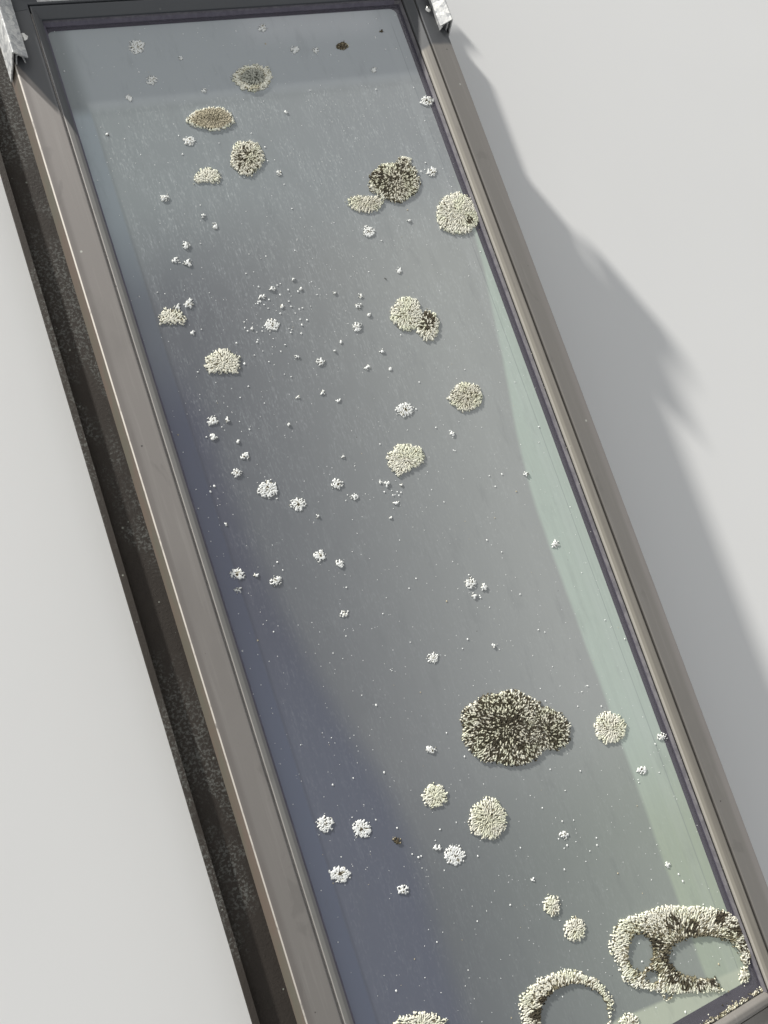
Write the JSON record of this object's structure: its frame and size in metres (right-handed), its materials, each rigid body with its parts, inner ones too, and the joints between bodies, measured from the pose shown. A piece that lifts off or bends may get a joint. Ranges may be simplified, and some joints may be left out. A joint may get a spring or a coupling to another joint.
{
  "type": "roof skylight",
  "caption": "Narrow top-hung roof skylight with metal-clad timber frame and sash, insulated glass, mitred glazing beads, side gutters, hood on galvanised legs, lock lever and stay.",
  "frame": {"origin": "middle of the underside of the timber frame, which is also the middle of the foot of the whole part", "axes": "+X across the window to the right as seen from outside, +Y up the slope towards the hood, +Z outwards from the roof"},
  "size_m": [0.595, 1.597, 0.1554],
  "materials": {
    "cover_paint": "satin, weathered",
    "flashing_paint": "matt, dirty",
    "white_timber": "satin paint",
    "clear_glass": "clear, dusty outside",
    "spacer_metal": "satin",
    "sealant": "matt",
    "seal_rubber": "matt",
    "grey_gasket": "matt, dusty",
    "moulded_caps": "matt",
    "galvanised_steel": "spangled zinc",
    "plated_steel": "satin zinc",
    "white_hardware": "gloss",
    "bare_plate": "satin",
    "lichen_crust": "rough"
  },
  "bodies": {
    "frame": {"frame_jamb_left": "white_timber", "frame_jamb_right": "white_timber", "frame_head": "white_timber", "frame_sill": "white_timber", "weather_seal": "seal_rubber", "cladding_left": "cover_paint", "cladding_right": "cover_paint", "cladding_head": "cover_paint", "cladding_sill": "cover_paint", "gutter_left": "flashing_paint", "gutter_right": "flashing_paint", "head_flashing": "flashing_paint", "sill_apron": "flashing_paint", "roof_brackets": "plated_steel", "bracket_screws": "plated_steel", "hinge_leaves": "plated_steel", "hinge_pins": "plated_steel", "leaf_screws": "plated_steel", "lock_keeper": "plated_steel", "stay_peg": "plated_steel"},
    "sash": {"side_cover_left": "cover_paint", "side_cover_right": "cover_paint", "top_cover": "cover_paint", "bottom_cover": "cover_paint", "bead_left": "cover_paint", "bead_right": "cover_paint", "bead_top": "cover_paint", "hood": "cover_paint", "hood_brackets": "cover_paint", "sash_stile_left": "white_timber", "sash_stile_right": "white_timber", "sash_top_rail": "white_timber", "sash_bottom_rail": "white_timber", "outer_pane": "clear_glass", "inner_pane": "clear_glass", "spacer": "spacer_metal", "edge_seal": "sealant", "glazing_tape": "sealant", "setting_blocks": "sealant", "bottom_gasket": "seal_rubber", "glazing_gasket": "grey_gasket", "cover_end_caps": "moulded_caps", "cover_clips": "moulded_caps", "hood_leg_left": "galvanised_steel", "hood_leg_right": "galvanised_steel", "leg_saddles": "galvanised_steel", "hinge_straps": "plated_steel", "strap_screws": "plated_steel", "stay_pivot": "plated_steel", "cover_screws": "plated_steel", "lock_rose": "white_hardware", "blank_plate": "bare_plate", "lichen_patches": "lichen_crust"},
    "lock": {"lock_lever": "white_hardware", "lock_tongue": "plated_steel"},
    "stay": {"stay_bar": "plated_steel"}
  },
  "joints": [
    {"name": "sash_hinge", "type": "hinge", "parent": "frame", "child": "sash", "pos_m": [0, 0.6855, 0.1155], "axis": [-1, 0, 0], "range_deg": [0, 45]},
    {"name": "lock_turn", "type": "hinge", "parent": "sash", "child": "lock", "pos_m": [0, -0.6335, 0.069], "axis": [0, -1, 0], "range_deg": [0, 90]},
    {"name": "stay_swing", "type": "hinge", "parent": "sash", "child": "stay", "pos_m": [-0.2065, -0.5275, 0.069], "axis": [-1, 0, 0], "range_deg": [0, 90]}
  ]
}
